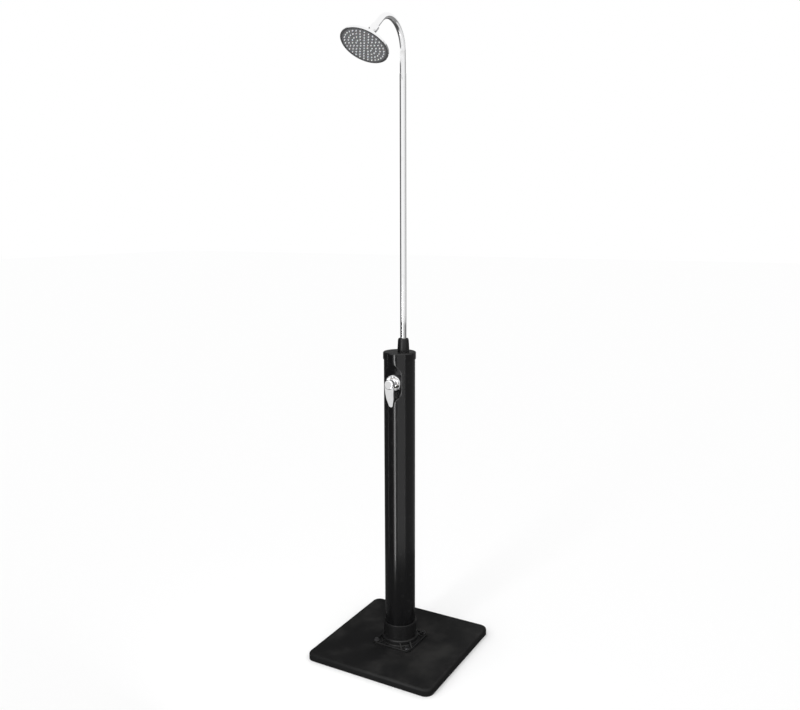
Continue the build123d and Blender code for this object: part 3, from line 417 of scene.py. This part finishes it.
def plane_matrix(origin, normal):
    """Turns Z to the normal and keeps X as near to the frame's X as it can."""
    across = Vector((1, 0, 0))
    z = normal.normalized()
    x = (across - z * across.dot(z)).normalized()
    y = z.cross(x)
    turn = Matrix((x, y, z)).transposed().to_4x4()
    return Matrix.Translation(origin) @ turn


# Mesh helpers
ON_AXIS = 1e-7      # radii below this close to one point


def lathe(name, outline, segments):
    """A mesh turned about Z from an outline of (radius, height) points, closed at the axis."""
    mesh = bmesh.new()
    rings = []
    for radius, height in outline:
        if radius < ON_AXIS:
            rings.append([mesh.verts.new((0, 0, height))])
        else:
            rings.append([mesh.verts.new((radius * math.cos(2 * math.pi * k / segments),
                                          radius * math.sin(2 * math.pi * k / segments), height))
                          for k in range(segments)])
    for low, high in zip(rings, rings[1:]):
        for k in range(segments):
            corners = [low[k % len(low)], low[(k + 1) % len(low)], high[(k + 1) % len(high)], high[k % len(high)]]
            mesh.faces.new(list(dict.fromkeys(corners)))
    bmesh.ops.recalc_face_normals(mesh, faces=mesh.faces)
    return finish_mesh(name, mesh)


def finish_mesh(name, mesh):
    """Turns a bmesh into a shaded object of the scene."""
    data = bpy.data.meshes.new(name)
    mesh.to_mesh(data)
    mesh.free()
    made = bpy.data.objects.new(name, data)
    bpy.context.scene.collection.objects.link(made)
    return made


def smooth(piece, angle):
    """Smooth shading, with edges sharper than the angle kept."""
    piece.data.shade_smooth()
    piece.data.set_sharp_from_angle(angle=math.radians(angle))


def set_input(modifier, tree, label, value):
    """Sets a geometry node modifier's input by its socket's identifier."""
    for item in tree.interface.items_tree:
        if item.item_type == "SOCKET" and item.in_out == "INPUT" and item.name == label:
            modifier[item.identifier] = value


def geometry_tree(name, inputs):
    """A geometry node tree with named inputs."""
    tree = bpy.data.node_groups.new(name, "GeometryNodeTree")
    tree.interface.new_socket(name="Geometry", in_out="INPUT", socket_type="NodeSocketGeometry")
    for label, kind in inputs:
        tree.interface.new_socket(name=label, in_out="INPUT", socket_type=kind)
    tree.interface.new_socket(name="Geometry", in_out="OUTPUT", socket_type="NodeSocketGeometry")
    return tree, tree.nodes.new("NodeGroupInput").outputs, tree.nodes.new("NodeGroupOutput").inputs


def grown(name, tree, values, place):
    """Runs a geometry node tree and keeps its result as a plain mesh."""
    host = bpy.data.objects.new(name, bpy.data.meshes.new(name))
    bpy.context.scene.collection.objects.link(host)
    modifier = host.modifiers.new(name, "NODES")
    modifier.node_group = tree
    for label, value in values.items():
        set_input(modifier, tree, label, value)
    bpy.context.view_layer.update()
    seen = host.evaluated_get(bpy.context.evaluated_depsgraph_get())
    result = bpy.data.meshes.new_from_object(seen)
    host.modifiers.remove(modifier)
    host.data = result
    host.data.transform(place)
    return host


def finish_of(slot):
    """The material made for one of the record's slots."""
    return FINISHES[slot]


# Finishes of the CAD pieces
def make_finishes(settings):
    """One material for each material slot of the record."""
    EFFECTS.update(grain=moulded_grain(), streaks=drawn_streaks(), dust=settled_dust(), drops=dried_drops(),
                   scratches=hair_scratches())
    tray, tank, chrome = list(settings.tray), list(settings.tank), list(settings.chrome)
    satin_plastic("tray_black", tray, 0.5, 700.0, 0.00006, 0.5, 0.3)
    satin_plastic("foot_black", tray, 0.4, 900.0, 0.00004, 0.35)
    gloss_plastic("tank_black", tank, 0.16)
    gloss_plastic("cap_black", tank, 0.12)
    satin_plastic("gland_black", tank, 0.34, 900.0, 0.00003, 0.15)
    bright_metal("pole_chrome", chrome, 0.09)
    bright_metal("head_chrome", chrome, 0.06)
    bright_metal("tap_chrome", chrome, 0.10, streaks=(90.0, 60.0))
    face_plastic("face_grey", list(settings.face))
    soft_rubber("silicone", list(settings.silicone), 0.45, Subsurface_Weight=0.1)
    # Steel is kept dark at 0.3: partly a dull dark zinc finish, partly painted shade for the dark surroundings that
    # the flange bolts reflect
    bright_metal("steel", (0.3, 0.3, 0.31), 0.32, ROUGH_DRAWN, (600.0, 30.0), (0.2, 0.18, 0.15))
    bright_metal("brass", (0.66, 0.47, 0.22), 0.24, ROUGH_DRAWN, (500.0, 200.0), (0.2, 0.13, 0.07))
    soft_rubber("seal_rubber", (0.012, 0.012, 0.012), 0.6)
    soft_rubber("nylon", (0.72, 0.7, 0.64), 0.45)
    soft_rubber("ceramic", (0.8, 0.79, 0.75), 0.18, 1200.0)
    soft_rubber("hose", (0.03, 0.03, 0.032), 0.5, 300.0)


def finish_cad_nodes():
    """Gives every CAD node the material of its slot."""
    for part in frame["record"]["subparts"]:
        node = frame["nodes"][part["node"]]
        node.data.materials.clear()
        node.data.materials.append(finish_of(part["material_slot"]))


# Spray nozzles
NOZZLE_SIDES = 12
NOZZLE_SHARP = 50       # degrees; edges sharper than this stay sharp
WHOLE_SLACK = 1e-4      # keeps a whole number from being rounded up to the next


def nozzle_mesh(settings):
    """One soft nozzle with its foot and its hole."""
    base, tip, height = settings.base, settings.tip, settings.height
    foot, bore, depth, lip = 0.35 * MM, 0.55 * MM, 1.2 * MM, 0.2 * MM
    outline = [(base, 0), (base, foot * 0.6), (base - foot, foot), (base * 0.72, height * 0.4), (tip, height - foot),
               (tip - lip, height), (bore, height), (bore * 0.8, height - depth), (0, height - depth)]
    return lathe("nozzle_source", outline, NOZZLE_SIDES)


def nozzle_tree():
    """Points on rings of six more each time, with a nozzle on each."""
    tree, given, made = geometry_tree("Nozzle rings", [
        ("Rings", "NodeSocketInt"), ("Pitch", "NodeSocketFloat"), ("Nozzle", "NodeSocketObject"),
        ("Material", "NodeSocketMaterial")])
    rings = given["Rings"]
    count = maths(tree, "MULTIPLY_ADD", maths(tree, "MULTIPLY", rings, maths(tree, "ADD", rings, 1.0)), 3.0, 1.0)
    points = place_nodes(tree, "GeometryNodePoints", {"Count": count})
    index = tree.nodes.new("GeometryNodeInputIndex").outputs[0]
    root = maths(tree, "SQRT", maths(tree, "MULTIPLY_ADD", index, 12.0, 9.0))
    part = maths(tree, "DIVIDE", maths(tree, "SUBTRACT", root, 3.0), 6.0)
    ring = maths(tree, "CEIL", maths(tree, "SUBTRACT", part, WHOLE_SLACK))
    before = maths(tree, "MULTIPLY", maths(tree, "MULTIPLY", ring, maths(tree, "SUBTRACT", ring, 1.0)), 3.0)
    step = maths(tree, "SUBTRACT", maths(tree, "SUBTRACT", index, before), 1.0)
    share = maths(tree, "DIVIDE", step, maths(tree, "MAXIMUM", maths(tree, "MULTIPLY", ring, 6.0), 1.0))
    angle = maths(tree, "MULTIPLY", share, 2 * math.pi)
    radius = maths(tree, "MULTIPLY", ring, given["Pitch"])
    place = place_nodes(tree, "ShaderNodeCombineXYZ", {
        "X": maths(tree, "MULTIPLY", radius, maths(tree, "COSINE", angle)),
        "Y": maths(tree, "MULTIPLY", radius, maths(tree, "SINE", angle))})
    moved = place_nodes(tree, "GeometryNodeSetPosition", {"Geometry": points.outputs[0],
                                                          "Position": place.outputs[0]})
    source = place_nodes(tree, "GeometryNodeObjectInfo", {"Object": given["Nozzle"]})
    copies = place_nodes(tree, "GeometryNodeInstanceOnPoints", {"Points": moved.outputs[0],
                                                                "Instance": source.outputs["Geometry"]})
    real = place_nodes(tree, "GeometryNodeRealizeInstances", {"Geometry": copies.outputs[0]})
    shaded = place_nodes(tree, "GeometryNodeSetMaterial", {"Geometry": real.outputs[0],
                                                           "Material": given["Material"]})
    tree.links.new(shaded.outputs[0], made["Geometry"])
    return tree


class SHOWER_OT_finishes(bpy.types.Operator):
    """Makes the materials and gives each CAD piece its own"""
    bl_idname = "shower.finishes"
    bl_label = "Finishes"

    def execute(self, context):
        make_finishes(context.scene.shower_finish)
        finish_cad_nodes()
        return {"FINISHED"}


class SHOWER_OT_nozzles(bpy.types.Operator):
    """Puts round silicone nozzles on the shower head's face"""
    bl_idname = "shower.nozzles"
    bl_label = "Spray nozzles"

    def execute(self, context):
        settings = context.scene.shower_nozzles
        source = nozzle_mesh(settings)
        place = plane_matrix(face_centre(), spray_way())
        nozzles = grown("spray_nozzles", nozzle_tree(), {
            "Rings": settings.rings, "Pitch": settings.pitch, "Nozzle": source,
            "Material": finish_of("silicone")}, place)
        bpy.data.objects.remove(source)
        smooth(nozzles, NOZZLE_SHARP)
        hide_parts("nozzle_mat")
        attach(nozzles, "head")
        return {"FINISHED"}


# Stage
CARD_STEPS = 24
DISC_SIDES = 64
DISC_HEIGHT = 2 * MM
DISC_LEVEL = 0.09


def reflect_only(piece):
    """Keeps a card of the stage out of all but reflections."""
    piece.visible_camera = False
    piece.visible_diffuse = False
    piece.visible_shadow = False


def card(name, start, span, bottom, top, level, distance, fade):
    """A curved grey card that only reflections see; angles are degrees from the camera's side."""
    steps = CARD_STEPS
    heading = bpy.context.scene.shower_camera.heading
    mesh = bmesh.new()
    soft = mesh.loops.layers.uv.new("UVMap")
    columns = []
    for k in range(steps + 1):
        angle = heading + math.radians(start + span * k / steps)
        foot = Vector((math.sin(angle), -math.cos(angle), 0)) * distance
        columns.append((mesh.verts.new(foot + Vector((0, 0, bottom))), mesh.verts.new(foot + Vector((0, 0, top)))))
    for k, (left, right) in enumerate(zip(columns, columns[1:])):
        face = mesh.faces.new((left[0], right[0], right[1], left[1]))
        shares = (k / steps, (k + 1) / steps, (k + 1) / steps, k / steps)
        for loop, share, up in zip(face.loops, shares, (0, 0, 1, 1)):
            loop[soft].uv = (share, up)
    made = finish_mesh(name, mesh)
    made.data.materials.append(card_material(name, level, fade / abs(span)))
    reflect_only(made)


def floor_card(reach, level):
    """A dark disc on the floor that only reflections see."""
    mesh = bmesh.new()
    turns = [2 * math.pi * k / DISC_SIDES for k in range(DISC_SIDES)]
    mesh.faces.new([mesh.verts.new((reach * math.cos(turn), reach * math.sin(turn), DISC_HEIGHT)) for turn in turns])
    made = finish_mesh("floor_card", mesh)
    shader = new_material("floor_card", (0, 0, 0), 1.0, Specular_IOR_Level=0.0)[1]
    shader.inputs["Emission Color"].default_value = (level, level, level, 1)
    shader.inputs["Emission Strength"].default_value = 1.0
    made.data.materials.append(finish_of("floor_card"))
    reflect_only(made)


def card_material(name, level, fade):
    """A plain grey that fades out at the card's two ends."""
    material = bpy.data.materials.new(name)
    material.use_nodes = True
    tree = material.node_tree
    tree.nodes.remove(tree.nodes["Principled BSDF"])
    place = tree.nodes.new("ShaderNodeUVMap").outputs[0]
    split = place_nodes(tree, "ShaderNodeSeparateXYZ", {"Vector": place})
    rise = soft_step(tree, split.outputs["X"], 0.0, fade)
    fall = soft_step(tree, split.outputs["X"], 1.0, 1.0 - fade)
    share = maths(tree, "MULTIPLY", rise, fall)
    grey = place_nodes(tree, "ShaderNodeEmission", {"Color": (level, level, level, 1), "Strength": 1.0})
    clear = tree.nodes.new("ShaderNodeBsdfTransparent")
    mixed = tree.nodes.new("ShaderNodeMixShader")
    tree.links.new(share, mixed.inputs[0])
    tree.links.new(clear.outputs[0], mixed.inputs[1])
    tree.links.new(grey.outputs[0], mixed.inputs[2])
    tree.links.new(mixed.outputs[0], tree.nodes["Material Output"].inputs["Surface"])
    return material


def soft_lamp(name, angle, distance, height, width, tall, power, aim):
    """A soft box turned to a height on the tank's axis; its angle is in degrees from the camera's side."""
    data = bpy.data.lights.new(name, "AREA")
    data.shape = "RECTANGLE"
    data.size = width
    data.size_y = tall
    data.energy = power
    made = bpy.data.objects.new(name, data)
    bpy.context.scene.collection.objects.link(made)
    turn = bpy.context.scene.shower_camera.heading + math.radians(angle)
    made.location = (distance * math.sin(turn), -distance * math.cos(turn), height)
    made.rotation_euler = (Vector((0, 0, aim)) - made.location).to_track_quat("-Z", "Y").to_euler()
    return made


def light_only(lamp, names):
    """Lets a lamp shine on the named pieces alone."""
    lit = bpy.data.collections.new(lamp.name + "_pieces")
    for name in names:
        lit.objects.link(frame["nodes"][name])
    lamp.light_linking.receiver_collection = lit


def background_share(tree):
    """1 for the rays that see the background itself."""
    path = tree.nodes.new("ShaderNodeLightPath").outputs
    seen = maths(tree, "MAXIMUM", path["Is Camera Ray"], path["Is Glossy Ray"])
    return maths(tree, "MAXIMUM", seen, path["Is Transmission Ray"])


def make_world(settings):
    """White to the camera, to metal and to glass, and a plain soft light on the object."""
    world = bpy.data.worlds.new("soft_studio")
    bpy.context.scene.world = world
    world.use_nodes = True
    world.cycles.sampling_method = "NONE"
    tree = world.node_tree
    light = tree.nodes["Background"]
    light.inputs["Color"].default_value = (1, 1, 1, 1)
    light.inputs["Strength"].default_value = settings.sky
    white = place_nodes(tree, "ShaderNodeBackground", {"Color": (1, 1, 1, 1), "Strength": 1.0})
    mixed = tree.nodes.new("ShaderNodeMixShader")
    tree.links.new(background_share(tree), mixed.inputs[0])
    tree.links.new(light.outputs[0], mixed.inputs[1])
    tree.links.new(white.outputs[0], mixed.inputs[2])
    tree.links.new(mixed.outputs[0], tree.nodes["World Output"].inputs["Surface"])


def make_floor(settings):
    """A plain pale floor."""
    half = settings.floor_side / 2
    mesh = bmesh.new()
    corners = ((-half, -half), (half, -half), (half, half), (-half, half))
    mesh.faces.new([mesh.verts.new((x, y, 0)) for x, y in corners])
    floor = finish_mesh("floor", mesh)
    new_material("pale_floor", list(settings.floor_colour), 0.9, Specular_IOR_Level=0.0)
    floor.data.materials.append(finish_of("pale_floor"))


SENSOR_WIDTH = 36.0     # mm
CLIP_END = 200.0        # m


def make_camera(settings):
    """The camera at the photograph's place."""
    data = bpy.data.cameras.new("camera")
    data.lens = settings.lens
    data.sensor_width = SENSOR_WIDTH
    data.clip_end = CLIP_END
    made = bpy.data.objects.new("camera", data)
    bpy.context.scene.collection.objects.link(made)
    made.matrix_world = (Matrix.Translation(settings.place) @ Matrix.Rotation(settings.heading, 4, "Z")
                         @ Matrix.Rotation(math.pi / 2 + settings.pitch, 4, "X")
                         @ Matrix.Rotation(-settings.roll, 4, "Z"))
    bpy.context.scene.camera = made


# Grey cards round the object: name, first and last angle from the camera's side, lower and upper edge
# in metres, grey level, and the angle over which both ends fade out
CARDS = [
    ("low_back", 148, 272, 0.0, 1.1, 0.06, 8),
    ("low_left", -92, -43, 0.0, 1.1, 0.05, 6),
    ("low_front_left", -46, -14, 0.0, 1.1, 0.12, 6),
    ("low_front", -16, 40, 0.0, 1.1, 0.75, 8),
    ("low_right", 36, 152, 0.0, 1.1, 0.2, 8),
    ("high_left", 145, 290, 1.1, 2.25, 0.12, 8),
    ("high_right", 26, 96, 1.1, 2.3, 0.8, 8),
    ("high_back_right", 92, 150, 1.1, 2.3, 0.27, 8),
]

# Lamps: name, angle from the camera's side, distance, height, width, length, power in watts, and the height
# on the axis that it points at; the strip makes the bright line down the tank
LAMPS = [
    ("strip_lamp", -35, 0.8, 0.62, 0.08, 1.25, 2.8, 0.62),
    ("tap_lamp", -58, 0.75, 0.8, 0.8, 1.3, 2.3, 0.9),
]
LIT_ALONE = {"tap_lamp": ["tap_escutcheon", "dome_nut", "tap_lever", "index_cap"]}


class SHOWER_OT_stage(bpy.types.Operator):
    """Sets up the floor, the light and the camera"""
    bl_idname = "shower.stage"
    bl_label = "Stage"

    def execute(self, context):
        scene = context.scene
        scene.view_settings.view_transform = "Standard"
        settings = scene.shower_stage
        make_world(settings)
        make_floor(settings)
        make_camera(scene.shower_camera)
        for name, start, end, bottom, top, level, fade in CARDS:
            card(name, start, end - start, bottom, top, level, settings.card_distance, fade)
        floor_card(settings.card_distance, DISC_LEVEL)
        for name, *values in LAMPS:
            lamp = soft_lamp(name, *values)
            if name in LIT_ALONE:
                light_only(lamp, LIT_ALONE[name])
        return {"FINISHED"}


class SHOWER_PT_panel(bpy.types.Panel):
    """Lists the steps that dress the shower"""
    bl_idname = "SHOWER_PT_panel"
    bl_label = "Solar shower"
    bl_space_type = "VIEW_3D"
    bl_region_type = "UI"
    bl_category = "Solar shower"

    def draw(self, context):
        for operator in OPERATORS:
            self.layout.operator(operator.bl_idname)


SETTINGS = {"shower_camera": CameraSettings, "shower_stage": StageSettings, "shower_finish": FinishSettings,
            "shower_nozzles": NozzleSettings}
OPERATORS = [SHOWER_OT_finishes, SHOWER_OT_nozzles, SHOWER_OT_stage]


def register():
    for made in [*SETTINGS.values(), *OPERATORS, SHOWER_PT_panel]:
        bpy.utils.register_class(made)
    for name, group in SETTINGS.items():
        setattr(bpy.types.Scene, name, PointerProperty(type=group))


def unregister():
    for name in SETTINGS:
        delattr(bpy.types.Scene, name)
    for made in [SHOWER_PT_panel, *reversed(OPERATORS), *reversed(SETTINGS.values())]:
        bpy.utils.unregister_class(made)


def main():
    register()
    bpy.ops.shower.finishes()
    bpy.ops.shower.nozzles()
    bpy.ops.shower.stage()


if __name__ == "__main__":
    main()
